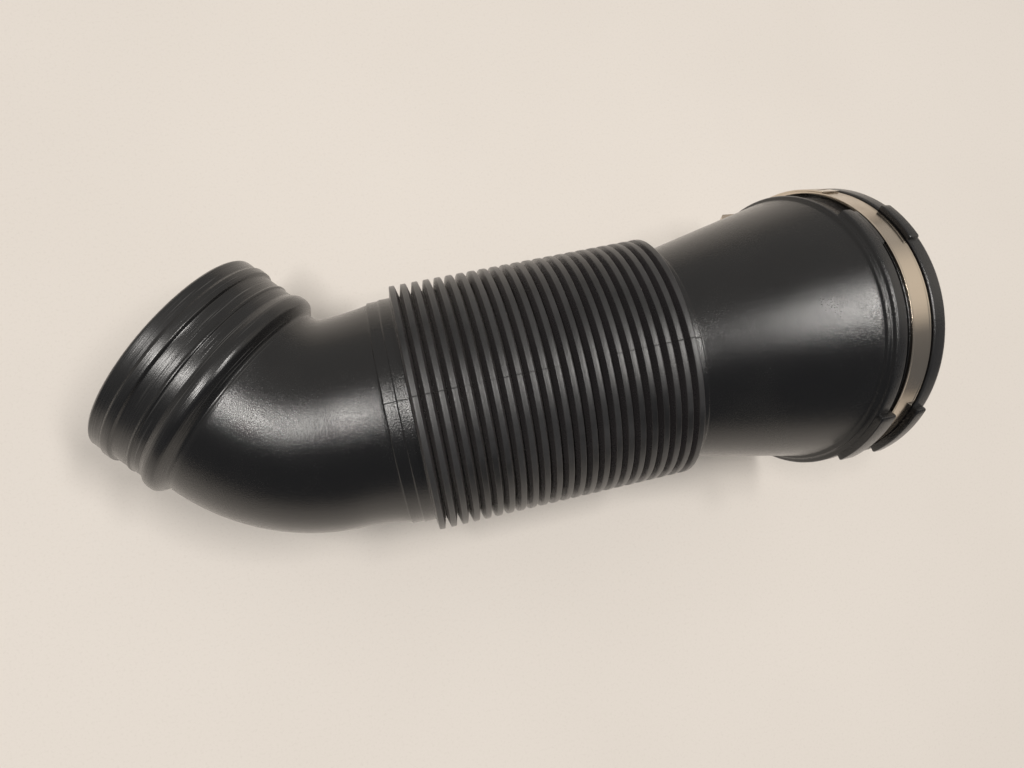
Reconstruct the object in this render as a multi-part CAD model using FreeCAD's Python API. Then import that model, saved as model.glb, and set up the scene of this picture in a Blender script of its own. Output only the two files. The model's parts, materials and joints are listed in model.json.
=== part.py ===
import FreeCAD, Part
import math
import os

# Air intake duct: spigot, elbow, bellows and bell moulded in one piece, with a worm-drive clamp on the cuff.
# Design frame: X along the bellows axis from the first fin, Y towards the spigot, Z up. Millimetres.

# Bellows
fin_count = 23
fin_pitch = 4.0
fin_radius = 43.5
fin_crown = 1.9
root_radius = 39.5
bellows_bore = 36.8

# Elbow
elbow_turn = 48.4
elbow_radius = 36.8
elbow_inner_bend = 4.2
elbow_wall = 1.9
elbow_taper = 16.1
elbow_collar = 8.0
elbow_collar_radius = 39.6

# Spigot, with places measured inwards from its mouth
spigot_length = 29.5
spigot_bore_drop = 0.4
spigot_bore_depth = 27.0
spigot_wall = 2.2
lip_height = 0.3
lip_chamfer = 0.8
ridge_start = 5.0
ridge_width = 4.0
ridge_height = 1.0
bead_start = 19.3
bead_width = 9.2
bead_rise = 2.6
bead_fall = 3.4
bead_height = 1.7
ramp = 0.6

# Bell between the bellows and the cuff
bell_collar = 3.4
bell_collar_radius = 39.6
bell_length = 51.8
bell_radius = 37.8
bell_flare = 12.0
bell_droop = 2.0
bell_wall = 3.4

# Cuff, with places measured outwards from the middle of its ridge
cuff_tilt = 15.2
cuff_yaw = 3.1
cuff_seat_radius = 49.8
cuff_wall = 3.2
cuff_ridge_height = 1.3
cuff_ridge_width = 3.0
cuff_shoulder = 3.6
cuff_shoulder_drop = 0.5
cuff_rim_height = 1.4
cuff_rim_start = 14.3
cuff_length = 20.5
cuff_rim_round = 0.9
cuff_bore_depth = 22.0

# Lugs that keep the clamp in place, with angles about the cuff axis from its top towards the spigot side
lug_count = 3
lug_step = 91.0
lug_span = 28.0
lug_height = 2.0
first_lug = 35.5
first_lug_span = 21.0
notch_start = 46.5
notch_end = 168.0
notch_depth = 1.5

# Clamp band
band_width = 9.0
band_thickness = 0.7
band_fit = 0.05
tail_span = 72.0
slot_count = 14
slot_length = 6.0
slot_width = 1.3
slot_slant = 9.0

# Clamp housing and screw
housing_angle = 125.5
housing_length = 14.0
housing_wall = 0.9
housing_side_gap = 0.25
screw_gap = 0.35
worm_radius = 3.4
worm_play = 0.3
neck_radius = 2.4
neck_fit = 0.05
head_across_flats = 7.0
head_length = 5.0
head_collar_radius = 4.6
head_collar = 1.0
head_slot_width = 1.2
head_slot_depth = 1.6
tip_length = 1.6
end_play = 0.15

# Resting attitude on a level surface
rest_roll = 4.1
rest_pitch = -4.27

# Overlap that lets cutting shapes pass a face
over = 1.0

x_axis = FreeCAD.Vector(1, 0, 0)
y_axis = FreeCAD.Vector(0, 1, 0)
z_axis = FreeCAD.Vector(0, 0, 1)
origin = FreeCAD.Vector(0, 0, 0)


def meridian(point):
    """Point of an outline, given as distance along X and radius."""
    return FreeCAD.Vector(point[0], 0, point[1])


def lathe(outline):
    """Solid turned about X from an outline of points."""
    corners = [meridian((outline[0][0], 0))]
    corners += [meridian(point) for point in outline]
    corners += [meridian((outline[-1][0], 0)), corners[0]]
    return Part.Face(Part.makePolygon(corners)).revolve(origin, x_axis, 360)


def sector(start, end, inner, outer, angle, span):
    """Ring segment about X from one place to another, centred on an angle from Z towards Y."""
    corners = [(start, inner), (end, inner), (end, outer), (start, outer), (start, inner)]
    face = Part.Face(Part.makePolygon([meridian(corner) for corner in corners]))
    face.rotate(origin, x_axis, span / 2 - angle)
    return face.revolve(origin, x_axis * -1, span)


def turned(shape, angle):
    """Copy of a shape made at the top, turned about X to an angle from Z towards Y."""
    copy = shape.copy()
    copy.rotate(origin, x_axis, -angle)
    return copy


def placed(shape, placement):
    """Copy of a shape carried by a placement."""
    copy = shape.copy()
    copy.Placement = placement.multiply(copy.Placement)
    return copy


def disc(radius, placement):
    """Circular wire about a placement's X axis."""
    circle = Part.Circle(origin, x_axis, radius).toShape()
    return placed(Part.Wire([circle]), placement)


# Places along the duct
bellows_length = (fin_count - 1) * fin_pitch
elbow_collar_start = -fin_crown / 2 - ramp
elbow_collar_end = elbow_collar_start - elbow_collar
bend_start = elbow_collar_end - elbow_taper
bell_collar_start = bellows_length + fin_crown / 2 + ramp
bell_collar_end = bell_collar_start + bell_collar

elbow_bend_radius = elbow_radius + elbow_inner_bend
bend_centre = FreeCAD.Vector(bend_start, elbow_bend_radius, 0)
outward = FreeCAD.Rotation(z_axis, -elbow_turn).multVec(x_axis * -1)
bend_end = bend_centre + FreeCAD.Rotation(z_axis, -elbow_turn).multVec(y_axis * -elbow_bend_radius)
spigot_mouth = bend_end + outward * spigot_length
spigot_frame = FreeCAD.Placement(spigot_mouth, FreeCAD.Rotation(x_axis, outward * -1))

cuff_turn = FreeCAD.Rotation(z_axis, -cuff_yaw).multiply(FreeCAD.Rotation(y_axis, cuff_tilt))
cuff_place = FreeCAD.Vector(bell_collar_start + bell_length, 0, 0)
cuff_frame = FreeCAD.Placement(cuff_place, cuff_turn)


# Radii of the spigot, all set from the elbow
spigot_bore = elbow_radius - spigot_bore_drop
recess_radius = spigot_bore + spigot_wall
lip_radius = recess_radius + lip_height
ridge_radius = recess_radius + ridge_height
bead_radius = recess_radius + bead_height

# Radii of the cuff, all set from its clamp seat
cuff_bore = cuff_seat_radius - cuff_wall
cuff_ridge_radius = cuff_seat_radius + cuff_ridge_height
cuff_shoulder_radius = cuff_seat_radius - cuff_shoulder_drop
cuff_rim_radius = cuff_seat_radius + cuff_rim_height
notch_radius = cuff_seat_radius - notch_depth


def bend(radius):
    """Round section swept through the elbow's turn."""
    start = FreeCAD.Placement(FreeCAD.Vector(bend_start, 0, 0), FreeCAD.Rotation())
    return Part.Face(disc(radius, start)).revolve(bend_centre, z_axis * -1, elbow_turn)


def bell(inset):
    """Cone on a slightly drooping axis, cut off in the plane of the cuff ridge and inset by a wall."""
    slope = math.tan(math.radians(bell_flare))
    small = bell_radius - inset / math.cos(math.radians(bell_flare))
    length = bell_length + cuff_ridge_radius
    axis = FreeCAD.Rotation(y_axis, bell_droop).multVec(x_axis)
    cone = Part.makeCone(small, small + length * slope, length, FreeCAD.Vector(bell_collar_start, 0, 0), axis)
    reach = 2 * length
    side = Part.makeBox(reach, reach, reach, FreeCAD.Vector(-reach, -reach / 2, -reach / 2))
    return cone.common(placed(side, cuff_frame))


def bellows_outline():
    """Outline from the elbow's taper over the fins to the collar of the bell."""
    outline = [
        (bend_start, elbow_radius),
        (elbow_collar_end, elbow_collar_radius - ramp),
        (elbow_collar_end, elbow_collar_radius),
        (elbow_collar_start, elbow_collar_radius),
    ]
    for fin in range(fin_count):
        middle = fin * fin_pitch
        if fin > 0:
            outline.append((middle - fin_pitch / 2, root_radius))
        outline += [
            (middle - fin_crown / 2, fin_radius),
            (middle + fin_crown / 2, fin_radius),
        ]
    outline += [
        (bell_collar_start, bell_collar_radius),
        (bell_collar_end, bell_collar_radius),
    ]
    return outline


def spigot_outline():
    """Outline of the small end from its mouth over the ridge and the bead."""
    ridge_end = ridge_start + ridge_width
    bead_end = bead_start + bead_width
    return [
        (0, lip_radius - lip_chamfer),
        (lip_chamfer, lip_radius),
        (ridge_start, lip_radius),
        (ridge_start + ramp, ridge_radius),
        (ridge_end - ramp, ridge_radius),
        (ridge_end, recess_radius),
        (bead_start, recess_radius),
        (bead_start + bead_rise, bead_radius),
        (bead_end - bead_fall, bead_radius),
        (bead_end, elbow_radius),
        (spigot_length, elbow_radius),
    ]


def cuff_outline():
    """Outline of the large end from its shoulder over the ridge and the clamp seat to the rim."""
    half_ridge = cuff_ridge_width / 2
    return [
        (-cuff_shoulder, cuff_shoulder_radius),
        (-half_ridge - ramp, cuff_shoulder_radius),
        (-half_ridge, cuff_ridge_radius),
        (half_ridge, cuff_ridge_radius),
        (half_ridge, cuff_seat_radius),
        (cuff_rim_start, cuff_seat_radius),
        (cuff_rim_start, cuff_rim_radius),
        (cuff_length - cuff_rim_round, cuff_rim_radius),
        (cuff_length, cuff_rim_radius - cuff_rim_round),
    ]


# Places of the clamp along the cuff
housing_width = band_width + 2 * (housing_wall + housing_side_gap)
band_middle = (cuff_ridge_width / 2 + cuff_rim_start) / 2 + ramp
band_start = band_middle - band_width / 2
band_end = band_middle + band_width / 2
notch_floor_end = band_middle + housing_width / 2 + housing_side_gap

# Places of the lugs
lug_radius = cuff_rim_radius + lug_height
rim_lug_end = cuff_length - 2 * cuff_rim_round
body_lug_end = band_start - ramp


def make_lugs():
    """Retaining lugs on both sides of the clamp seat; on the body side the first one stays below the ridge."""
    lugs = []
    for lug in range(lug_count):
        angle = first_lug - lug * lug_step
        span = first_lug_span if lug == 0 else lug_span
        body_radius = cuff_ridge_radius - ramp / 2 if lug == 0 else lug_radius
        lugs.append(sector(cuff_rim_start, rim_lug_end, cuff_bore, lug_radius, angle, span))
        lugs.append(sector(-cuff_ridge_width / 2, body_lug_end, cuff_bore, body_radius, angle, span))
    return lugs


def make_duct_body():
    """The moulded duct, hollow from mouth to mouth."""
    outer = [
        placed(lathe(spigot_outline()), spigot_frame),
        bend(elbow_radius),
        lathe(bellows_outline()),
        bell(0),
        placed(lathe(cuff_outline()), cuff_frame),
    ]
    outer += [placed(lug, cuff_frame) for lug in make_lugs()]
    solid = outer[0].multiFuse(outer[1:])

    notch_angle = (notch_start + notch_end) / 2
    notch_span = notch_end - notch_start
    notch = sector(-cuff_ridge_width / 2 - ramp, notch_floor_end, notch_radius, lug_radius + over,
                   notch_angle, notch_span)
    solid = solid.cut(placed(notch, cuff_frame))

    bend_bore = elbow_radius - elbow_wall
    spigot_hollow = lathe([(-over, spigot_bore), (spigot_bore_depth, spigot_bore),
                           (spigot_length, bend_bore)])
    straight_hollow = lathe([(bend_start, bend_bore), (elbow_collar_end, bellows_bore),
                             (bell_collar_end + bell_length / 4, bellows_bore)])
    cuff_hollow = lathe([(cuff_length - cuff_bore_depth, cuff_bore), (cuff_length + over, cuff_bore)])
    hollow = [
        placed(spigot_hollow, spigot_frame),
        bend(bend_bore),
        straight_hollow,
        bell(bell_wall),
        placed(cuff_hollow, cuff_frame),
    ]
    return solid.cut(hollow)


# Radii of the clamp, outwards from the cuff axis
band_inner = cuff_seat_radius + band_fit
band_outer = band_inner + band_thickness
tail_outer = band_outer + band_thickness
screw_height = tail_outer + screw_gap + worm_radius
housing_floor = band_inner - housing_side_gap - housing_wall
arch_bore = worm_radius + worm_play
arch_radius = arch_bore + housing_wall


def make_clamp_band():
    """Strip round the cuff whose slotted tail runs through the housing and lies on the strip."""
    strip = sector(band_start, band_end, band_inner, band_outer, 0, 360)
    tail_angle = housing_angle - tail_span / 2
    tail = sector(band_start, band_end, band_outer, tail_outer, tail_angle, tail_span)
    slot = Part.makeBox(slot_length, slot_width, 2 * band_thickness)
    slot.translate(FreeCAD.Vector(-slot_length / 2, -slot_width / 2, 0))
    slot.rotate(origin, z_axis, slot_slant)
    slot.translate(FreeCAD.Vector(band_middle, 0, band_outer - band_thickness / 2))
    pitch = tail_span / (slot_count + 1)
    slots = [turned(slot, housing_angle - pitch * (place + 1)) for place in range(slot_count)]
    return strip.fuse(tail.cut(slots))


def across(radius, start, end):
    """Cylinder along the screw axis of a clamp made at the top, between two places along Y."""
    base = FreeCAD.Vector(band_middle, start, screw_height)
    return Part.makeCylinder(radius, end - start, base, y_axis)


def make_clamp_housing():
    """Stamped saddle under the band with an arch over the worm and a bearing at each end."""
    half_length = housing_length / 2
    half_width = housing_width / 2
    span = math.degrees(housing_length / band_inner)
    start = band_middle - half_width
    end = band_middle + half_width
    skirt = sector(start, end, housing_floor, tail_outer, 0, span)
    block = Part.makeBox(housing_width, housing_length, screw_height - band_outer)
    block.translate(FreeCAD.Vector(start, -half_length, band_outer))
    arch = across(half_width, -half_length, half_length)
    cover = block.fuse(arch)
    roof = Part.makeBox(housing_width, housing_length, arch_radius + screw_height - band_outer)
    roof.translate(FreeCAD.Vector(start, -half_length, band_outer))
    saddle = skirt.fuse(cover.common(roof))

    channel_start = start + housing_wall
    channel_end = end - housing_wall
    passage = sector(channel_start, channel_end, housing_floor + housing_wall, tail_outer + screw_gap / 2,
                     0, 2 * span)
    chamber_half = half_length - housing_wall
    chamber = across(arch_bore, -chamber_half, chamber_half)
    bearing = across(neck_radius + neck_fit, -half_length - over, half_length + over)
    return saddle.cut([passage, chamber, bearing])


def make_clamp_screw():
    """Worm screw with a slotted hexagon head, held between the bearings of the housing."""
    half_length = housing_length / 2
    worm_half = half_length - housing_wall - end_play
    worm = across(worm_radius, -worm_half, worm_half)
    head_start = half_length + end_play
    neck = across(neck_radius, -half_length - tip_length, head_start)
    collar = across(head_collar_radius, head_start, head_start + head_collar)
    corner = head_across_flats / 2 / math.cos(math.radians(30))
    corners = []
    for side in range(7):
        angle = math.radians(60 * side)
        corners.append(FreeCAD.Vector(corner * math.cos(angle), 0, corner * math.sin(angle)))
    hexagon = Part.Face(Part.makePolygon(corners)).extrude(y_axis * head_length)
    hexagon.translate(FreeCAD.Vector(band_middle, head_start + head_collar, screw_height))
    head_end = head_start + head_collar + head_length
    slot = Part.makeBox(2 * corner + over, head_slot_depth + over, head_slot_width)
    slot.translate(FreeCAD.Vector(band_middle - corner - over / 2, head_end - head_slot_depth,
                                  screw_height - head_slot_width / 2))
    return worm.multiFuse([neck, collar, hexagon]).cut(slot)


def in_clamp(shape):
    """Piece of the clamp made at the top of the cuff, carried to the housing's place."""
    return placed(turned(shape, housing_angle), cuff_frame)


design = {
    "duct_body": make_duct_body(),
    "clamp_band": placed(make_clamp_band(), cuff_frame),
    "clamp_housing": in_clamp(make_clamp_housing()),
    "clamp_screw": in_clamp(make_clamp_screw()),
}

# Resting place: turned onto its supports, lowest point at zero and centred over the origin
rest_turn = FreeCAD.Rotation(y_axis, rest_pitch).multiply(FreeCAD.Rotation(x_axis, rest_roll))
lying = FreeCAD.Placement(origin, rest_turn)
extent = Part.makeCompound([placed(shape, lying) for shape in design.values()]).optimalBoundingBox(False)
rest = FreeCAD.Placement(FreeCAD.Vector(-extent.Center.x, -extent.Center.y, -extent.ZMin), rest_turn)

os.makedirs("parts", exist_ok=True)
nodes = {name: placed(shape, rest) for name, shape in design.items()}
for name, shape in nodes.items():
    shape.exportStep("parts/" + name + ".step")
    print(name, "valid" if shape.isValid() else "invalid", len(shape.Solids), round(shape.Volume, 1))
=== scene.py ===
import json
import logging
import math
from dataclasses import dataclass, field
from enum import Enum
from typing import Callable, Dict, List, Optional, Sequence, Tuple, Union

import bmesh
import bpy
from mathutils import Matrix, Quaternion, Vector


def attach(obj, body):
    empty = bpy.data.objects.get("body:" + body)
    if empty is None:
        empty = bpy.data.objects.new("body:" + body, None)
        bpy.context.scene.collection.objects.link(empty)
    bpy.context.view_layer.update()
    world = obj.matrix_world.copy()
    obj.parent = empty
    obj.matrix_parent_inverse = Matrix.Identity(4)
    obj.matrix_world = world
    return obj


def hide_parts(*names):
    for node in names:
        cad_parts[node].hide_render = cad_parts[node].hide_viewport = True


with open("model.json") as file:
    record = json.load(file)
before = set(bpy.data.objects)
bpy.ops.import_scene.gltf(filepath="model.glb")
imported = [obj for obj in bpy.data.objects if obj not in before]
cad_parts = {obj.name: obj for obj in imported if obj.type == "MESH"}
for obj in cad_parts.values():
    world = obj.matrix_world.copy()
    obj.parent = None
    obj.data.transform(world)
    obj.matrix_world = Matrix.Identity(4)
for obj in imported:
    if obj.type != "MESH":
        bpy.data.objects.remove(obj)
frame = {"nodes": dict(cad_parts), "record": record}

Colour = Tuple[float, float, float]
Point = Tuple[float, float]
Profile = List[Point]
Direction = Tuple[float, float, float]
Levels = Tuple[float, float]
Number = Union[int, float]

MM = 0.001
FULL_TURN = 360.0
MIX_FIRST, MIX_SECOND, MIX_RESULT = 6, 7, 2
CORNER_SHARE = 0.45
BEVEL_BEND = 0.35
MOST_DRAWN = 0.9
LEAST_LENGTH = 1e-6
NODE_CREASE = 25.0
STEEL_NODES = ("clamp_housing", "clamp_screw")
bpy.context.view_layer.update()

logging.basicConfig(level=logging.INFO, format="%(name)s: %(message)s")
log = logging.getLogger("duct")


class Slot(Enum):
    """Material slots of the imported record."""

    DUCT = "duct"
    STEEL = "steel"


class Body(Enum):
    """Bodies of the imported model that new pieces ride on."""

    DUCT = "duct"


class Mark(Enum):
    """Values painted on the vertices of the moulded body for its finish."""

    WEAR = "wear"
    SCUFF = "scuff"
    GROOVE = "groove"
    SEAM = "seam"


class Signal:
    """Value of a shader socket that takes part in Python arithmetic."""

    def __init__(self, graph: "Graph", socket: bpy.types.NodeSocket) -> None:
        """Keep the socket and the graph that it belongs to."""
        self.graph = graph
        self.socket = socket

    def __add__(self, other: "Term") -> "Signal":
        """Sum with a value."""
        return self.graph.math("ADD", self, other)

    __radd__ = __add__

    def __sub__(self, other: "Term") -> "Signal":
        """Difference from a value."""
        return self.graph.math("SUBTRACT", self, other)

    def __rsub__(self, other: "Term") -> "Signal":
        """Value less this signal."""
        return self.graph.math("SUBTRACT", other, self)

    def __mul__(self, other: "Term") -> "Signal":
        """Product with a value."""
        return self.graph.math("MULTIPLY", self, other)

    __rmul__ = __mul__

    def __truediv__(self, other: "Term") -> "Signal":
        """Quotient by a value."""
        return self.graph.math("DIVIDE", self, other)

    def __rtruediv__(self, other: "Term") -> "Signal":
        """Value divided by this signal."""
        return self.graph.math("DIVIDE", other, self)


Term = Union[Signal, Number]


class Graph:
    """Node tree of a material or the room, with a method for any node and arithmetic on its sockets."""

    def __init__(self, owner: Union[bpy.types.Material, bpy.types.World]) -> None:
        """Empty the node tree of its owner.

        Args:
            owner: material or room that the tree belongs to.
        """
        self.owner = owner
        owner.use_nodes = True
        self.tree = owner.node_tree
        self.tree.nodes.clear()

    def node(self, kind: str, settings: Optional[Dict[str, object]] = None,
             inputs: Optional[Dict[Union[str, int], object]] = None) -> bpy.types.Node:
        """Add a node.

        Args:
            kind: Blender's type of the node.
            settings: properties set first.
            inputs: values or signals for the sockets, by name or number.

        Returns:
            The new node.
        """
        made = self.tree.nodes.new(kind)
        for name, value in (settings or {}).items():
            setattr(made, name, value)
        for key, value in (inputs or {}).items():
            if isinstance(value, Signal):
                self.tree.links.new(value.socket, made.inputs[key])
            else:
                made.inputs[key].default_value = value
        return made

    def signal(self, made: bpy.types.Node, output: Union[str, int] = 0) -> Signal:
        """Signal of one output of a node."""
        return Signal(self, made.outputs[output])

    def math(self, operation: str, first: Term, second: Term) -> Signal:
        """Signal of a Math node on two values."""
        return self.signal(self.node("ShaderNodeMath", {"operation": operation}, {0: first, 1: second}))

    def clamped(self, value: Signal, levels: Levels) -> Signal:
        """Ramp a value from 0 at one level to 1 at another, smoothly.

        Args:
            value: the value.
            levels: level that gives 0 and level that gives 1.

        Returns:
            The ramped value.
        """
        settings = {"interpolation_type": "SMOOTHSTEP"}
        inputs = {"Value": value, "From Min": levels[0], "From Max": levels[1]}
        return self.signal(self.node("ShaderNodeMapRange", settings, inputs))

    def mixed(self, factor: Term, first: Union[Signal, Colour],
              second: Union[Signal, Colour]) -> Signal:
        """Mix two colours.

        Args:
            factor: share of the second colour.
            first: first colour.
            second: second colour.

        Returns:
            The mixed colour.
        """
        def full(colour: Union[Signal, Colour]) -> object:
            """Colour with an alpha, or the signal as it is."""
            return colour if isinstance(colour, Signal) else (*colour, 1.0)

        inputs = {"Factor": factor, MIX_FIRST: full(first), MIX_SECOND: full(second)}
        return self.signal(self.node("ShaderNodeMix", {"data_type": "RGBA"}, inputs), MIX_RESULT)

    def stretched(self, source: str, scale: Direction) -> Signal:
        """Texture coordinates, stretched.

        Args:
            source: output of the Texture Coordinate node.
            scale: features per metre along each axis.

        Returns:
            The stretched coordinates.
        """
        here = self.signal(self.node("ShaderNodeTexCoord"), source)
        return self.signal(self.node("ShaderNodeMapping", {}, {"Vector": here, "Scale": scale}))

    def noise(self, where: Signal, detail: float = 2.0, roughness: float = 0.5) -> Signal:
        """Noise of one feature per unit of the coordinates.

        Args:
            where: coordinates.
            detail: finer layers.
            roughness: share of the finer layers.

        Returns:
            Values round 0.5.
        """
        inputs = {"Vector": where, "Scale": 1.0, "Detail": detail, "Roughness": roughness}
        return self.signal(self.node("ShaderNodeTexNoise", {}, inputs))

    def painted(self, mark: Mark) -> Signal:
        """Value painted on the vertices."""
        return self.signal(self.node("ShaderNodeAttribute", {"attribute_name": mark.value}), "Fac")

    def bump(self, height: Signal, strength: float, distance: float) -> Signal:
        """Normal raised by a height.

        Args:
            height: height from 0 to 1.
            strength: share of the effect.
            distance: size of a height of 1, in metres.

        Returns:
            The normal.
        """
        inputs = {"Height": height, "Strength": strength, "Distance": distance}
        return self.signal(self.node("ShaderNodeBump", {}, inputs), "Normal")

    def finish(self, inputs: Dict[Union[str, int], object]) -> bpy.types.Material:
        """Close the tree with a shader.

        Args:
            inputs: values or signals for the shader's sockets.

        Returns:
            The material.
        """
        shader = self.signal(self.node("ShaderNodeBsdfPrincipled", {}, inputs))
        self.node("ShaderNodeOutputMaterial", {}, {"Surface": shader})
        return self.owner


@dataclass(frozen=True)
class Elastomer:
    """Satin black moulded elastomer: fine grain, pale crowns and lines drawn round the spigot."""

    name: str = "black_elastomer"
    black: Colour = (0.0042, 0.0042, 0.0046)
    worn: Colour = (0.027, 0.0268, 0.0275)
    dust: Colour = (0.011, 0.0106, 0.0102)
    settled: Colour = (0.034, 0.031, 0.033)
    scratch: Colour = (0.11, 0.108, 0.105)
    dust_levels: Levels = (0.45, 0.75)
    dust_share: float = 0.35
    worn_levels: Levels = (0.38, 0.80)
    worn_grain: float = 0.25
    scratch_levels: Levels = (0.60, 0.72)
    scratch_share: float = 0.7
    settled_least: float = 0.6
    settled_cloud: float = 0.8
    roughness: float = 0.25
    cloud_roughness: float = 0.16
    grain_roughness: float = 0.10
    worn_roughness: float = 0.12
    scratch_gloss: float = 0.10
    specular: float = 0.66
    sheen: float = 0.14
    sheen_roughness: float = 0.35
    sheen_tint: Colour = (1.0, 0.93, 0.86)
    grain_per_metre: float = 2600.0
    cloud_per_metre: float = 45.0
    line_per_metre: float = 1400.0
    line_stretch: float = 14.0
    line_height: float = 1.7
    rubbed_flat: float = 0.8
    bump_strength: float = 0.5
    bump_depth: float = 0.15
    seam_place: float = 0.1647
    seam_width: float = 0.00016
    seam_levels: Levels = (0.5, 2.0)
    seam_breaks: Levels = (0.40, 0.56)
    seam_share: float = 0.8
    seam_roughness: float = 0.3
    seam_depth: float = 1.5

    def material(self) -> bpy.types.Material:
        """Build the node tree and return the material."""
        graph = Graph(bpy.data.materials.new(self.name))
        grain = graph.noise(graph.stretched("Object", (self.grain_per_metre,) * 3), 1.0)
        cloud = graph.noise(graph.stretched("Object", (self.cloud_per_metre,) * 3), 4.0)
        drawn = graph.stretched("UV", (self.line_stretch, self.line_per_metre, 1.0))
        lines = graph.noise(drawn, 2.0, 0.7)
        seam = self._seam(graph, cloud)
        wear = graph.painted(Mark.WEAR)
        scuff = graph.painted(Mark.SCUFF)
        rubbed = wear * graph.clamped(cloud + grain * self.worn_grain, self.worn_levels)
        scored = scuff * graph.clamped(lines, self.scratch_levels)
        dusty = graph.clamped(cloud, self.dust_levels) * self.dust_share
        filled = graph.painted(Mark.GROOVE) * (self.settled_least + cloud * self.settled_cloud)
        colour = graph.mixed(dusty, self.black, self.dust)
        colour = graph.mixed(rubbed, colour, self.worn)
        colour = graph.mixed(scored * self.scratch_share, colour, self.scratch)
        colour = graph.mixed(filled, colour, self.settled)
        colour = graph.mixed(seam * self.seam_share, colour, self.black)
        rough = self.roughness + (cloud - 0.5) * self.cloud_roughness
        rough = rough + (grain - 0.5) * self.grain_roughness + wear * self.worn_roughness
        rough = rough - scored * self.scratch_gloss + seam * self.seam_roughness
        height = grain * (1.0 - scuff * self.rubbed_flat) + lines * scuff * self.line_height
        height = height - seam * self.seam_depth
        return graph.finish({
            "Base Color": colour,
            "Roughness": rough,
            "Specular IOR Level": self.specular,
            "Sheen Weight": self.sheen,
            "Sheen Roughness": self.sheen_roughness,
            "Sheen Tint": (*self.sheen_tint, 1.0),
            "Normal": graph.bump(height, self.bump_strength, self.bump_depth * MM),
        })

    def _seam(self, graph: Graph, cloud: Signal) -> Signal:
        """Parting line along the bellows.

        Args:
            graph: node tree of the finish.
            cloud: noise that breaks the line.

        Returns:
            1 on the line and 0 beside it.
        """
        flat = graph.signal(graph.node("ShaderNodeTexCoord"), "UV")
        round_way = graph.signal(graph.node("ShaderNodeSeparateXYZ", {}, {"Vector": flat}), "X")
        aside = (round_way - self.seam_place) / self.seam_width
        broken = graph.clamped(cloud, self.seam_breaks)
        beside = graph.clamped(aside * aside, self.seam_levels)
        return graph.painted(Mark.SEAM) * broken * (1.0 - beside)


@dataclass(frozen=True)
class Stainless:
    """Bright strip steel with faint lines along the strip and a few dull patches."""

    name: str = "bright_strip"
    steel: Colour = (0.66, 0.575, 0.475)
    dull: Colour = (0.47, 0.40, 0.32)
    dull_levels: Levels = (0.52, 0.78)
    dull_share: float = 0.5
    dull_roughness: float = 0.14
    roughness: float = 0.17
    line_roughness: float = 0.12
    line_per_metre: float = 1900.0
    line_stretch: float = 22.0
    patch_per_metre: float = 70.0
    bump_strength: float = 0.12
    bump_depth: float = 0.05

    def material(self) -> bpy.types.Material:
        """Build the node tree and return the material."""
        graph = Graph(bpy.data.materials.new(self.name))
        drawn = graph.stretched("UV", (self.line_stretch, self.line_per_metre, 1.0))
        lines = graph.noise(drawn, 3.0, 0.6)
        patch = graph.noise(graph.stretched("Object", (self.patch_per_metre,) * 3), 4.0)
        dulled = graph.clamped(patch, self.dull_levels)
        rough = self.roughness + (lines - 0.5) * self.line_roughness + dulled * self.dull_roughness
        return graph.finish({
            "Base Color": graph.mixed(dulled * self.dull_share, self.steel, self.dull),
            "Metallic": 1.0,
            "Roughness": rough,
            "Normal": graph.bump(lines, self.bump_strength, self.bump_depth * MM),
        })


@dataclass(frozen=True)
class Tabletop:
    """Pale warm laminate with a fine speckle."""

    name: str = "pale_laminate"
    pale: Colour = (0.700, 0.656, 0.606)
    speck: Colour = (0.615, 0.572, 0.522)
    speck_per_metre: float = 900.0
    speck_levels: Levels = (0.50, 0.72)
    speck_share: float = 0.35
    speck_roughness: float = 0.1
    cloud_per_metre: float = 6.0
    cloud_levels: Levels = (0.35, 0.75)
    cloud_share: float = 0.25
    roughness: float = 0.55
    specular: float = 0.3

    def material(self) -> bpy.types.Material:
        """Build the node tree and return the material."""
        graph = Graph(bpy.data.materials.new(self.name))
        speckle = graph.noise(graph.stretched("Object", (self.speck_per_metre,) * 3), 2.0, 0.7)
        cloud = graph.noise(graph.stretched("Object", (self.cloud_per_metre,) * 3), 3.0)
        specks = graph.clamped(speckle, self.speck_levels) * self.speck_share
        clouds = graph.clamped(cloud, self.cloud_levels) * self.cloud_share
        return graph.finish({
            "Base Color": graph.mixed(specks + clouds, self.pale, self.speck),
            "Roughness": self.roughness + speckle * self.speck_roughness,
            "Specular IOR Level": self.specular,
        })


def turn(degrees: float, axis: str) -> Matrix:
    """Rotation about a named axis by an angle in degrees."""
    return Matrix.Rotation(math.radians(degrees), 4, axis)


def soften(points: Profile, radius: float, steps: int = 3) -> Profile:
    """Round the corners of an open outline.

    Args:
        points: outline of (place, radius) points.
        radius: length taken off both sides of a corner, less on short sides.
        steps: spans on a rounded corner.

    Returns:
        The outline with a short curve at each inner point.
    """
    out: Profile = [points[0]]
    for before, corner, after in zip(points, points[1:], points[2:]):
        here = Vector(corner)
        back = Vector(before) - here
        ahead = Vector(after) - here
        first = here + back.normalized() * min(radius, CORNER_SHARE * back.length)
        last = here + ahead.normalized() * min(radius, CORNER_SHARE * ahead.length)
        for step in range(steps + 1):
            t = step / steps
            curve = first * (1 - t) ** 2 + here * 2 * t * (1 - t) + last * t * t
            out.append((curve.x, curve.y))
    out.append(points[-1])
    return out


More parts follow.
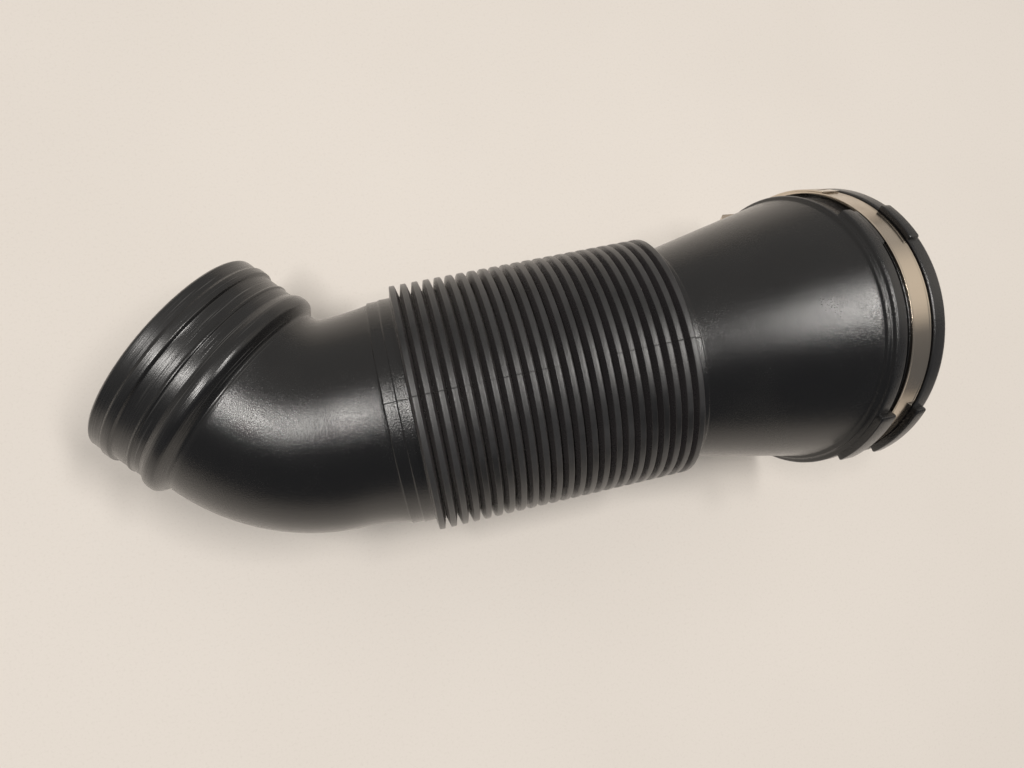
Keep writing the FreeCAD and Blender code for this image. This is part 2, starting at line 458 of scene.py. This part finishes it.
@dataclass
class Ring:
    """Circle of the moulded body about the X axis of a frame.

    Attributes:
        place: frame whose X axis passes through the circle's middle.
        radius: radius in millimetres.
        marks: painted values.
        shape: radius at an angle, where the circle isn't round.
    """

    place: Matrix
    radius: float
    marks: Dict[Mark, float] = field(default_factory=dict)
    shape: Optional[Callable[[float], float]] = None

    def points(self, angles: Sequence[float]) -> List[Vector]:
        """Points of the circle.

        Args:
            angles: angles in degrees from the frame's Z towards its Y.

        Returns:
            One point for each angle, in millimetres.
        """
        out = []
        for angle in angles:
            radius = self.shape(angle) if self.shape else self.radius
            a = math.radians(angle)
            out.append(self.place @ Vector((0.0, radius * math.sin(a), radius * math.cos(a))))
        return out


def at(place: Matrix, along: float) -> Matrix:
    """Frame moved along its own X axis."""
    return place @ Matrix.Translation((along, 0.0, 0.0))


@dataclass
class Layout:
    """Places of the duct's stretches in the design frame and its attitude at rest.

    The design frame has X along the bellows from the first fin, Y towards the spigot and Z up. Lengths
    are in millimetres.
    """

    fin_count: int = 23
    fin_pitch: float = 4.0
    fin_crown: float = 1.9
    elbow_turn: float = 48.4
    elbow_bend_radius: float = 41.0
    elbow_taper: float = 16.1
    elbow_collar: float = 8.0
    spigot_length: float = 29.5
    bell_collar: float = 3.4
    bell_length: float = 51.8
    ramp: float = 0.6
    cuff_tilt: float = 15.2
    cuff_yaw: float = 3.1
    rest_roll: float = 4.1
    rest_pitch: float = -4.27

    def __post_init__(self) -> None:
        """Work out the places along the duct."""
        flank = self.fin_crown / 2 + self.ramp
        self.last_fin = (self.fin_count - 1) * self.fin_pitch
        self.collar_start = -flank
        self.collar_end = self.collar_start - self.elbow_collar
        self.bend_start = self.collar_end - self.elbow_taper
        self.bell_collar_start = self.last_fin + flank
        self.bell_start = self.bell_collar_start + self.bell_collar
        self.cuff = (Matrix.Translation((self.bell_collar_start + self.bell_length, 0.0, 0.0))
                     @ turn(-self.cuff_yaw, "Z") @ turn(self.cuff_tilt, "Y"))
        self.spigot = at(self.bend_frame(self.elbow_turn), -self.spigot_length)

    def bend_frame(self, angle: float) -> Matrix:
        """Frame on the elbow's bend after a turn from its bellows end, X pointing to the bellows."""
        middle = Matrix.Translation((self.bend_start, self.elbow_bend_radius, 0.0))
        return middle @ turn(-angle, "Z") @ Matrix.Translation((0.0, -self.elbow_bend_radius, 0.0))

    def attitude(self) -> Matrix:
        """Rotation of the design frame at rest."""
        return turn(self.rest_pitch, "Y") @ turn(self.rest_roll, "X")


@dataclass
class Shell:
    """Rows of points that make one closed or open skin."""

    rows: List[List[Vector]]
    marks: List[Dict[Mark, float]] = field(default_factory=list)
    wrap_rows: bool = False
    wrap_columns: bool = True
    caps: bool = False

    def add_to(self, mesh: bmesh.types.BMesh) -> None:
        """Add the skin to a mesh with flat coordinates in metres round and along it.

        Args:
            mesh: mesh in the row frame, in metres.
        """
        uv = mesh.loops.layers.uv.verify()
        layers = {mark: mesh.verts.layers.float.get(mark.value) for mark in Mark}
        grid = []
        for index, row in enumerate(self.rows):
            verts = [mesh.verts.new(point) for point in row]
            marks = self.marks[index] if self.marks else {}
            for mark, layer in layers.items():
                if layer is not None:
                    for vert in verts:
                        vert[layer] = marks.get(mark, 0.0)
            grid.append(verts)
        longest = max(self.rows, key=lambda row: (row[0] - row[len(row) // 2]).length)
        round_way = self._lengths(longest, self.wrap_columns)
        along = self._lengths([row[0] for row in self.rows], self.wrap_rows)
        row_count = len(grid) if self.wrap_rows else len(grid) - 1
        column_count = len(grid[0]) if self.wrap_columns else len(grid[0]) - 1
        for i in range(row_count):
            for j in range(column_count):
                k = (i + 1) % len(grid)
                m = (j + 1) % len(grid[0])
                face = mesh.faces.new((grid[i][j], grid[i][m], grid[k][m], grid[k][j]))
                corners = ((j, i), (j + 1, i), (j + 1, i + 1), (j, i + 1))
                for loop, (u, v) in zip(face.loops, corners):
                    loop[uv].uv = (round_way[u], along[v])
        if self.caps:
            mesh.faces.new(grid[0])
            mesh.faces.new(list(reversed(grid[-1])))

    @staticmethod
    def _lengths(points: Sequence[Vector], wrap: bool) -> List[float]:
        """Lengths along a run of points, one more where it closes."""
        lengths = [0.0]
        following = list(points[1:]) + ([points[0]] if wrap else [])
        for here, there in zip(points, following):
            lengths.append(lengths[-1] + (there - here).length)
        return lengths


class Workshop:
    """Turns skins in the design frame into dressed pieces in the row frame."""

    def __init__(self, layout: Layout) -> None:
        """Find the row frame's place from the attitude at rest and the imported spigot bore.

        Args:
            layout: places of the duct's stretches.
        """
        self.layout = layout
        mount = next(m for m in frame["record"]["mounts"] if m["name"] == "spigot_bore")
        along = mount["dims"]["length_mm"] / 2
        middle = at(layout.spigot, along).to_translation() * MM
        scaled = layout.attitude() @ Matrix.Scale(MM, 4)
        shift = Vector(mount["pos_m"]) - layout.attitude() @ middle
        self.to_row = Matrix.Translation(shift) @ scaled

    def piece(self, name: str, shells: Sequence[Shell], material: bpy.types.Material, body: Body,
              slot: Slot, crease: float = 32.0, stands_for: Sequence[str] = ()) -> bpy.types.Object:
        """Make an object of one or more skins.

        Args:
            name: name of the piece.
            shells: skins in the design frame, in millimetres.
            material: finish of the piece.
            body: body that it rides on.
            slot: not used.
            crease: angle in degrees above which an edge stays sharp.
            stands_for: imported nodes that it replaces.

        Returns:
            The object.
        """
        mesh = bmesh.new()
        for mark in Mark:
            mesh.verts.layers.float.new(mark.value)
        for shell in shells:
            rows = [[self.to_row @ point for point in row] for row in shell.rows]
            Shell(rows, shell.marks, shell.wrap_rows, shell.wrap_columns, shell.caps).add_to(mesh)
        bmesh.ops.recalc_face_normals(mesh, faces=mesh.faces)
        data = bpy.data.meshes.new(name)
        mesh.to_mesh(data)
        mesh.free()
        made = bpy.data.objects.new(name, data)
        bpy.context.scene.collection.objects.link(made)
        self.dress(made, material, crease)
        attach(made, body.value)
        if stands_for:
            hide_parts(*stands_for)
        log.info("%s: %d faces", name, len(data.polygons))
        return made

    @staticmethod
    def dress(piece: bpy.types.Object, material: bpy.types.Material, crease: float) -> None:
        """Give a piece its finish and smooth shading.

        Args:
            piece: the object.
            material: its finish.
            crease: angle in degrees above which an edge stays sharp.
        """
        piece.data.materials.clear()
        piece.data.materials.append(material)
        piece.data.shade_smooth()
        piece.data.set_sharp_from_angle(angle=math.radians(crease))


@dataclass
class Spigot:
    """Small end: lip, ridge, recess, fine ring and bead, with places measured from the mouth."""

    layout: Layout
    bore: float = 36.4
    bore_depth: float = 27.0
    lip_radius: float = 38.9
    lip_chamfer: float = 0.8
    ridge_start: float = 5.0
    ridge_width: float = 4.0
    ridge_radius: float = 39.6
    recess_radius: float = 38.6
    ring_start: float = 14.6
    ring_width: float = 0.9
    ring_height: float = 0.45
    bead_start: float = 19.3
    bead_width: float = 9.2
    bead_rise: float = 2.6
    bead_fall: float = 3.4
    bead_radius: float = 40.3
    neck_radius: float = 36.8
    neck_bore: float = 34.9
    neck_groove: float = 0.5
    ramp: float = 0.6
    mouth_round: float = 0.3
    ring_round: float = 0.3
    bead_round: float = 1.2
    bead_round_steps: int = 4
    wear: float = 0.15

    def rings_outline(self) -> Profile:
        """Outside from the mouth over the ridge and the fine ring."""
        ridge_end = self.ridge_start + self.ridge_width
        ring_end = self.ring_start + self.ring_width
        ring_top = self.recess_radius + self.ring_height
        return [
            (0.0, self.bore + self.mouth_round),
            (0.0, self.lip_radius - self.lip_chamfer),
            (self.lip_chamfer, self.lip_radius),
            (self.ridge_start, self.lip_radius),
            (self.ridge_start + self.ramp, self.ridge_radius),
            (ridge_end - self.ramp, self.ridge_radius),
            (ridge_end, self.recess_radius),
            (self.ring_start, self.recess_radius),
            (self.ring_start + self.ramp / 2, ring_top),
            (ring_end, ring_top),
            (ring_end + self.ramp / 2, self.recess_radius),
            (self.bead_start - self.ramp, self.recess_radius),
        ]

    def bead_outline(self) -> Profile:
        """Outside from the recess over the bead to the groove at the elbow."""
        bead_end = self.bead_start + self.bead_width
        return [
            (self.bead_start - self.ramp / 2, self.recess_radius),
            (self.bead_start, self.recess_radius),
            (self.bead_start + self.bead_rise, self.bead_radius),
            (bead_end - self.bead_fall, self.bead_radius),
            (bead_end - self.ramp / 2, self.neck_radius - self.neck_groove),
            (self.layout.spigot_length, self.neck_radius),
        ]

    def outer(self) -> List[Ring]:
        """Rings of the outside."""
        profile = soften(self.rings_outline(), self.ring_round)
        profile += soften(self.bead_outline(), self.bead_round, self.bead_round_steps)
        marks = {Mark.SCUFF: 1.0, Mark.WEAR: self.wear}
        return [Ring(at(self.layout.spigot, along), radius, marks) for along, radius in profile]

    def inner(self) -> List[Ring]:
        """Rings of the bore, from the neck to the mouth."""
        profile = [
            (self.layout.spigot_length, self.neck_bore),
            (self.bore_depth, self.bore),
            (self.mouth_round, self.bore),
        ]
        return [Ring(at(self.layout.spigot, along), radius) for along, radius in profile]


@dataclass
class Elbow:
    """Bend between the spigot and the bellows."""

    layout: Layout
    radius: float = 36.8
    wall: float = 1.9
    steps: int = 28

    def outer(self) -> List[Ring]:
        """Rings of the outside, from the spigot to the bellows."""
        return [Ring(self._frame(step), self.radius) for step in range(1, self.steps)]

    def inner(self) -> List[Ring]:
        """Rings of the bore, from the bellows to the spigot."""
        bore = self.radius - self.wall
        return [Ring(self._frame(step), bore) for step in range(self.steps - 1, 0, -1)]

    def _frame(self, step: int) -> Matrix:
        """Frame after a step from the spigot."""
        return self.layout.bend_frame(self.layout.elbow_turn * (1 - step / self.steps))


@dataclass
class Bellows:
    """Taper, collar, fins and the ring towards the bell, on one axis."""

    layout: Layout
    fin_radius: float = 43.5
    root_radius: float = 39.2
    bore: float = 36.8
    taper_radius: float = 36.8
    taper_bore: float = 34.9
    collar_radius: float = 39.6
    collar_step: float = 3.9
    collar_step_height: float = 0.35
    groove_width: float = 0.7
    groove_depth: float = 0.6
    groove_slope: float = 0.15
    crown: float = 1.85
    crown_round: float = 0.32
    wear_reach: float = 0.45
    taper_steps: int = 10
    taper_power: float = 1.7
    bell_parts: int = 6

    def outer(self) -> List[Ring]:
        """Rings of the outside, from the taper to the bell."""
        layout = self.layout
        step_radius = self.collar_radius - self.collar_step_height
        step_end = layout.collar_end + self.collar_step
        lead = self._taper(step_radius - layout.ramp) + [
            (layout.collar_end, step_radius),
            (step_end, step_radius),
            (step_end + layout.ramp / 2, self.collar_radius),
            (layout.collar_start, self.collar_radius),
        ]
        fins: Profile = []
        for index in range(layout.fin_count):
            middle = index * layout.fin_pitch
            if index > 0:
                fins.append((middle - layout.fin_pitch / 2, self.root_radius))
            fins += [
                (middle - self.crown / 2, self.fin_radius),
                (middle + self.crown / 2, self.fin_radius),
            ]
        groove_start = layout.bell_start - self.groove_width
        floor = self.collar_radius - self.groove_depth
        tail = [
            (layout.bell_collar_start, self.collar_radius),
            (groove_start, self.collar_radius),
            (groove_start + self.groove_slope, floor),
            (layout.bell_start - self.groove_slope, floor),
        ]
        rings = []
        for along, radius in soften(lead + fins + tail, self.crown_round):
            raised = min(1.0, max(0.0, (radius - self.fin_radius + self.wear_reach) / self.wear_reach))
            finned = layout.collar_start < along < layout.bell_collar_start
            marks = {
                Mark.WEAR: raised,
                Mark.GROOVE: 1.0 - raised if finned else 0.0,
                Mark.SEAM: 1.0 if along > layout.collar_end else 0.0,
            }
            rings.append(Ring(Matrix.Translation((along, 0.0, 0.0)), radius, marks))
        return rings

    def _taper(self, end_radius: float) -> Profile:
        """Flare from the elbow to the collar, level at the elbow."""
        start = self.layout.bend_start
        length = self.layout.collar_end - start
        rise = end_radius - self.taper_radius
        profile = []
        for step in range(self.taper_steps + 1):
            share = step / self.taper_steps
            radius = self.taper_radius + rise * share ** self.taper_power
            profile.append((start + length * share, radius))
        return profile

    def inner(self) -> List[Ring]:
        """Rings of the bore, from the bell to the elbow."""
        layout = self.layout
        profile = [
            (layout.bell_start + layout.bell_length / self.bell_parts, self.bore),
            (layout.bell_collar_start, self.bore),
            (layout.last_fin / 2, self.bore),
            (layout.collar_end, self.bore),
            (layout.bend_start, self.taper_bore),
        ]
        return [Ring(Matrix.Translation((along, 0.0, 0.0)), radius) for along, radius in profile]


@dataclass
class Bell:
    """Flare from the bellows to the leaning cuff."""

    layout: Layout
    start_radius: float = 38.5
    end_radius: float = 47.8
    wall: float = 3.4
    shoulder: float = 5.4
    steps: int = 26
    last_inner_step: int = 7

    def outer(self) -> List[Ring]:
        """Rings of the outside, from the bellows to the cuff."""
        return [self._ring(step, 0.0) for step in range(self.steps + 1)]

    def inner(self) -> List[Ring]:
        """Rings of the inside, from the cuff to the bellows."""
        return [self._ring(step, self.wall) for step in range(self.steps, self.last_inner_step - 1, -1)]

    def _ring(self, step: int, inset: float) -> Ring:
        """Ring after a step from the bellows, inset by a wall."""
        share = step / self.steps
        start = Vector((self.layout.bell_start, 0.0, 0.0))
        end = at(self.layout.cuff, -self.shoulder)
        lean = Quaternion().slerp(end.to_quaternion(), share)
        place = Matrix.Translation(start.lerp(end.to_translation(), share)) @ lean.to_matrix().to_4x4()
        radius = self.start_radius + (self.end_radius - self.start_radius) * share
        return Ring(place, radius - inset)


@dataclass
class Cuff:
    """Large end: shoulder, ridge, clamp seat and rim, with places measured along the cuff's frame."""

    layout: Layout
    hollow_start: float = -5.1
    hollow_radius: float = 47.6
    shoulder_start: float = -3.9
    shoulder_radius: float = 49.3
    ridge_start: float = -2.2
    ridge_end: float = 2.4
    ridge_radius: float = 51.1
    groove_radius: float = 48.9
    groove_end: float = 4.6
    seat_radius: float = 49.8
    rim_start: float = 14.3
    rim_radius: float = 51.2
    length: float = 20.5
    bore: float = 46.6
    notch_radius: float = 48.3
    notch_start: float = 43.5
    notch_end: float = 168.0
    ramp: float = 0.6
    lug_angles: Tuple[float, ...] = (34.0, -55.5, -146.5)
    lug_spans: Tuple[float, ...] = (18.0, 28.0, 28.0)
    lug_radii: Tuple[float, ...] = (52.5, 53.2, 53.2)
    lug_steps: int = 14
    lug_round: float = 0.6
    lug_root: float = 1.5
    lug_rim_gap: float = 1.8
    lug_seat_gap: float = 0.2
    first_lug_drop: float = 0.3
    hollow_rise: float = 0.2
    wall_draft: float = 0.1
    rim_draft: float = 0.05
    rim_round: float = 0.9
    edge_round: float = 0.8
    mouth_round: float = 0.3
    bore_start: float = -1.5
    wear: float = 0.35
    wear_reach: float = 0.3

    def outline(self) -> Profile:
        """Outside from the shoulder to the mouth."""
        return [
            (self.hollow_start, self.hollow_radius),
            (self.shoulder_start - self.ramp, self.hollow_radius + self.hollow_rise),
            (self.shoulder_start, self.shoulder_radius),
            (self.ridge_start - self.ramp, self.shoulder_radius),
            (self.ridge_start, self.ridge_radius),
            (self.ridge_end, self.ridge_radius),
            (self.ridge_end + self.wall_draft, self.groove_radius),
            (self.groove_end, self.groove_radius),
            (self.groove_end + self.wall_draft, self.seat_radius),
            (self.rim_start, self.seat_radius),
            (self.rim_start + self.rim_draft, self.rim_radius),
            (self.length - self.rim_round, self.rim_radius),
            (self.length, self.rim_radius - self.rim_round),
            (self.length, self.bore + self.mouth_round),
        ]

    def outer(self) -> List[Ring]:
        """Rings of the outside."""
        rings = []
        for along, radius in soften(self.outline(), self.edge_round):
            wear = self.wear if radius > self.ridge_radius - self.wear_reach else 0.0
            ring = Ring(at(self.layout.cuff, along), radius, {Mark.WEAR: wear})
            if self.ridge_start - self.ramp < along < self.rim_start:
                ring.shape = self._notched(radius)
            rings.append(ring)
        return rings

    def _notched(self, radius: float) -> Callable[[float], float]:
        """Radius at an angle of a ring that the notch cuts into."""
        def shape(angle: float) -> float:
            """Radius at one angle."""
            inside = self.notch_start < angle % FULL_TURN < self.notch_end
            return min(radius, self.notch_radius) if inside else radius

        return shape

    def inner(self) -> List[Ring]:
        """Rings of the bore, from the mouth inwards."""
        places = (self.length - self.mouth_round, self.length / 2, self.bore_start)
        return [Ring(at(self.layout.cuff, along), self.bore) for along in places]

    def lugs(self) -> List[Shell]:
        """Retaining lugs on both sides of the clamp seat."""
        shells = []
        for angle, span, high in zip(self.lug_angles, self.lug_spans, self.lug_radii):
            low = self.ridge_radius - self.first_lug_drop if angle == self.lug_angles[0] else high
            rim_side = (self.rim_start, self.length - self.lug_rim_gap, high)
            body_side = (self.ridge_start, self.groove_end - self.lug_seat_gap, low)
            for start, end, radius in (rim_side, body_side):
                section = round_bar(start, end, self.bore + self.lug_root, radius, self.lug_round)
                lug = arc_bar(self.layout.cuff, section, angle, span, self.lug_steps, self.lug_round)
                shells.append(lug)
        return shells


def round_bar(start: float, end: float, inner: float, outer: float, radius: float) -> Profile:
    """Closed rectangular section with rounded corners.

    Args:
        start: first place along the axis.
        end: last place along the axis.
        inner: smallest radius.
        outer: largest radius.
        radius: length taken off the corners.

    Returns:
        Points round the section.
    """
    corners = [(start, inner), (end, inner), (end, outer), (start, outer)]
    middle = ((start + end) / 2, inner)
    return soften([middle] + corners[1:] + corners[:1] + [middle], radius)[:-1]


def arc_bar(place: Matrix, section: Profile, angle: float, span: float, steps: int,
            bevel: float = 0.0) -> Shell:
    """Section swept round the X axis of a frame.

    Args:
        place: frame.
        section: closed section of (place, radius) points.
        angle: middle angle in degrees from Z towards Y.
        span: swept angle in degrees, 360 for a hoop.
        steps: spans along the sweep.
        bevel: length over which both ends draw in.

    Returns:
        The skin.
    """
    hoop = span >= FULL_TURN
    middle = sum((Vector(point) for point in section), Vector((0.0, 0.0))) / len(section)
    outer = max(radius for _, radius in section)
    rows = []

    def row(at_angle: float, inset: float) -> None:
        """Add one section, drawn in by an inset."""
        a = math.radians(at_angle)
        points = []
        for point in section:
            away = Vector(point) - middle
            drawn = min(MOST_DRAWN, inset / max(away.length, inset, LEAST_LENGTH))
            x, r = middle + away * (1.0 - drawn)
            points.append(place @ Vector((x, r * math.sin(a), r * math.cos(a))))
        rows.append(points)

    start = angle - span / 2
    lead = math.degrees(bevel / outer)
    if bevel:
        row(start, bevel)
        row(start + lead * BEVEL_BEND, bevel * BEVEL_BEND)
        start += lead
        span -= 2 * lead
    for step in range(steps if hoop else steps + 1):
        row(start + span * step / steps, 0.0)
    if bevel:
        row(start + span + lead * (1.0 - BEVEL_BEND), bevel * BEVEL_BEND)
        row(start + span + lead, bevel)
    return Shell(rows, wrap_rows=hoop, caps=not hoop)


@dataclass
class DuctBody:
    """Moulded body, one skin from mouth to mouth inside and out, with its lugs."""

    workshop: Workshop
    columns: int = 168
    edge: float = 0.15

    def build(self, finish: Elastomer) -> bpy.types.Object:
        """Build and dress the body.

        Args:
            finish: finish of the body.

        Returns:
            The object.
        """
        layout = self.workshop.layout
        spigot = Spigot(layout)
        cuff = Cuff(layout)
        stretches = (spigot, Elbow(layout), Bellows(layout), Bell(layout), cuff)
        rings: List[Ring] = []
        for stretch in stretches:
            rings += stretch.outer()
        for stretch in reversed(stretches):
            rings += stretch.inner()
        angles = self._angles(cuff)
        rows = [ring.points(angles) for ring in rings]
        skin = Shell(rows, [ring.marks for ring in rings], wrap_rows=True)
        shells = [skin] + cuff.lugs()
        return self.workshop.piece("moulded_body", shells, finish.material(), Body.DUCT, Slot.DUCT,
                                   stands_for=("duct_body",))

    def _angles(self, cuff: Cuff) -> List[float]:
        """Angles of the columns from the underside round, with close pairs at the notch's ends."""
        even = [FULL_TURN * step / self.columns - FULL_TURN / 2 for step in range(self.columns)]
        edges = [cuff.notch_start - self.edge, cuff.notch_start + self.edge,
                 cuff.notch_end - self.edge, cuff.notch_end + self.edge]
        clear = [angle for angle in even if all(abs(angle - edge) > 2 * self.edge for edge in edges)]
        return sorted(clear + edges)


@dataclass
class ClampBand:
    """Strip round the cuff with beaded edges, and its slotted tail."""

    workshop: Workshop
    start: float = 5.0
    end: float = 13.6
    inner: float = 49.85
    thickness: float = 0.7
    bead: float = 0.9
    bead_height: float = 0.07
    housing_angle: float = 125.5
    tail_span: float = 63.0
    slot_count: int = 13
    slot_length: float = 6.0
    slot_width: float = 1.3
    slot_slant: float = 9.0
    steps: int = 220
    tail_steps: int = 60
    tail_inset: float = 0.1
    tail_round: float = 0.2
    tail_bevel: float = 0.3
    edge_round: float = 0.02
    crease: float = 18.0

    def build(self, finish: Stainless) -> List[bpy.types.Object]:
        """Build and dress the strip and its tail.

        Args:
            finish: finish of both.

        Returns:
            The objects.
        """
        material = finish.material()
        cuff = self.workshop.layout.cuff
        outer = self.inner + self.thickness
        hoop = arc_bar(cuff, self._section(), 0.0, FULL_TURN, self.steps)
        strip = self.workshop.piece("clamp_strip", [hoop], material, Body.DUCT, Slot.STEEL,
                                    self.crease, stands_for=("clamp_band",))
        section = round_bar(self.start + self.tail_inset, self.end - self.tail_inset,
                            outer, outer + self.thickness, self.tail_round)
        bar = arc_bar(cuff, section, self.housing_angle - self.tail_span / 2, self.tail_span,
                      self.tail_steps, self.tail_bevel)
        tail = self.workshop.piece("clamp_tail", [bar], material, Body.DUCT, Slot.STEEL, self.crease)
        self._cut_slots(tail)
        return [strip, tail]

    def _section(self) -> Profile:
        """Section of the strip, beaded along both edges."""
        outer = self.inner + self.thickness
        top = outer + self.bead_height
        middle = (self.start + self.end) / 2
        return soften([
            (middle, self.inner),
            (self.end, self.inner),
            (self.end, top),
            (self.end - self.bead / 2, top),
            (self.end - self.bead, outer),
            (self.start + self.bead, outer),
            (self.start + self.bead / 2, top),
            (self.start, top),
            (self.start, self.inner),
            (middle, self.inner),
        ], self.edge_round)[:-1]

    def _cut_slots(self, tail: bpy.types.Object) -> None:
        """Cut the slanted slots through the tail.

        Args:
            tail: the tail's object.
        """
        cutter = bmesh.new()
        pitch = self.tail_span / (self.slot_count + 1)
        height = self.inner + 1.5 * self.thickness
        for index in range(self.slot_count):
            angle = self.housing_angle - pitch * (index + 1)
            place = (self.workshop.to_row @ self.workshop.layout.cuff @ turn(-angle, "X")
                     @ Matrix.Translation(((self.start + self.end) / 2, 0.0, height))
                     @ turn(self.slot_slant, "Z"))
            size = Matrix.Diagonal((self.slot_length, self.slot_width, 3 * self.thickness, 1.0))
            bmesh.ops.create_cube(cutter, size=1.0, matrix=place @ size)
        data = bpy.data.meshes.new("slots")
        cutter.to_mesh(data)
        cutter.free()
        tool = bpy.data.objects.new("slots", data)
        bpy.context.scene.collection.objects.link(tool)
        cut = tail.modifiers.new("slots", "BOOLEAN")
        cut.operation = "DIFFERENCE"
        cut.solver = "EXACT"
        cut.object = tool
        graph = bpy.context.evaluated_depsgraph_get()
        result = bpy.data.meshes.new_from_object(tail.evaluated_get(graph))
        tail.modifiers.clear()
        old = tail.data
        tail.data = result
        bpy.data.meshes.remove(old)
        bpy.data.objects.remove(tool)
        bpy.data.meshes.remove(data)


@dataclass(frozen=True)
class Lamp:
    """Long lamp that points at the part.

    Attributes:
        name: name of the lamp.
        place: place in the row frame, in metres.
        length: length in metres, along Y.
        width: width in metres.
        power: power in watts.
        colour: colour of the light.
    """

    name: str
    place: Direction
    length: float
    width: float
    power: float = 7.6
    colour: Colour = (1.0, 0.965, 0.925)

    def build(self) -> None:
        """Hang the lamp."""
        data = bpy.data.lights.new(self.name, "AREA")
        data.shape = "RECTANGLE"
        data.size, data.size_y = self.length, self.width
        data.energy = self.power
        data.color = self.colour
        lamp = bpy.data.objects.new(self.name, data)
        bpy.context.scene.collection.objects.link(lamp)
        lamp.location = self.place
        lamp.rotation_mode = "QUATERNION"
        lamp.rotation_quaternion = (-Vector(self.place)).to_track_quat("-Z", "Y")


@dataclass
class Studio:
    """Floor, lamps, world and camera."""

    workshop: Workshop
    camera_place: Direction = (0.58, -0.33, 258.08)
    camera_forward: Direction = (0.1322, 0.0055, -0.9912)
    camera_up: Direction = (0.2065, 0.9779, 0.0329)
    sensor: float = 36.0
    lens: float = 25.3125
    nearest: float = 0.01
    floor_size: float = 12.0
    floor_squares: int = 8
    near_wall: Colour = (0.135, 0.136, 0.141)
    far_wall: Colour = (0.45, 0.43, 0.405)
    far_way: Direction = (0.0, 1.0, 0.0)
    far_levels: Levels = (-0.6, 0.7)
    window: Colour = (0.80, 0.74, 0.66)
    window_way: Direction = (0.89, 0.13, 0.43)
    window_levels: Levels = (0.90, 1.0)
    lamps: Tuple[Lamp, ...] = (
        Lamp("left_lamp", (-0.44, 0.02, 1.20), 0.50, 0.11),
        Lamp("right_lamp", (0.45, 0.01, 1.20), 0.50, 0.13),
    )

    def build(self) -> None:
        """Set the whole stage."""
        self._floor()
        self._world()
        for lamp in self.lamps:
            lamp.build()
        self._camera()

    def _floor(self) -> None:
        """Pale table under the part."""
        mesh = bmesh.new()
        squares = self.floor_squares
        bmesh.ops.create_grid(mesh, x_segments=squares, y_segments=squares, size=self.floor_size / 2)
        data = bpy.data.meshes.new("table")
        mesh.to_mesh(data)
        mesh.free()
        table = bpy.data.objects.new("table", data)
        bpy.context.scene.collection.objects.link(table)
        data.materials.append(Tabletop().material())

    def _world(self) -> None:
        """Soft light from all round, brighter towards the far wall and from a window on one side."""
        room = bpy.data.worlds.new("room")
        graph = Graph(room)
        way = graph.signal(graph.node("ShaderNodeTexCoord"), "Generated")

        def towards(direction: Direction) -> Signal:
            """Share of the way that points in a direction."""
            settings = {"operation": "DOT_PRODUCT"}
            node = graph.node("ShaderNodeVectorMath", settings, {0: way, 1: direction})
            return graph.signal(node, "Value")

        far = graph.clamped(towards(self.far_way), self.far_levels)
        lit = graph.clamped(towards(self.window_way), self.window_levels)
        colour = graph.mixed(lit, graph.mixed(far, self.near_wall, self.far_wall), self.window)
        light = graph.signal(graph.node("ShaderNodeBackground", {}, {"Color": colour}))
        graph.node("ShaderNodeOutputWorld", {}, {"Surface": light})
        bpy.context.scene.world = room

    def _camera(self) -> None:
        """Camera at the photograph's view."""
        data = bpy.data.cameras.new("camera")
        data.sensor_width = self.sensor
        data.lens = self.lens
        data.clip_start = self.nearest
        camera = bpy.data.objects.new("camera", data)
        bpy.context.scene.collection.objects.link(camera)
        attitude = self.workshop.layout.attitude().to_3x3()
        back = attitude @ -Vector(self.camera_forward).normalized()
        up = attitude @ Vector(self.camera_up).normalized()
        right = up.cross(back).normalized()
        axes = Matrix((right, back.cross(right), back)).transposed()
        place = self.workshop.to_row @ Vector(self.camera_place)
        camera.matrix_world = Matrix.Translation(place) @ axes.to_4x4()
        bpy.context.scene.camera = camera


def main() -> None:
    """Build the pieces, dress them and set the stage."""
    bpy.context.scene.view_settings.view_transform = "Standard"
    workshop = Workshop(Layout())
    DuctBody(workshop).build(Elastomer())
    ClampBand(workshop).build(Stainless())
    Studio(workshop).build()
    steel = Stainless("housing_steel").material()
    for name in STEEL_NODES:
        workshop.dress(frame["nodes"][name], steel, NODE_CREASE)


if __name__ == "__main__":
    main()
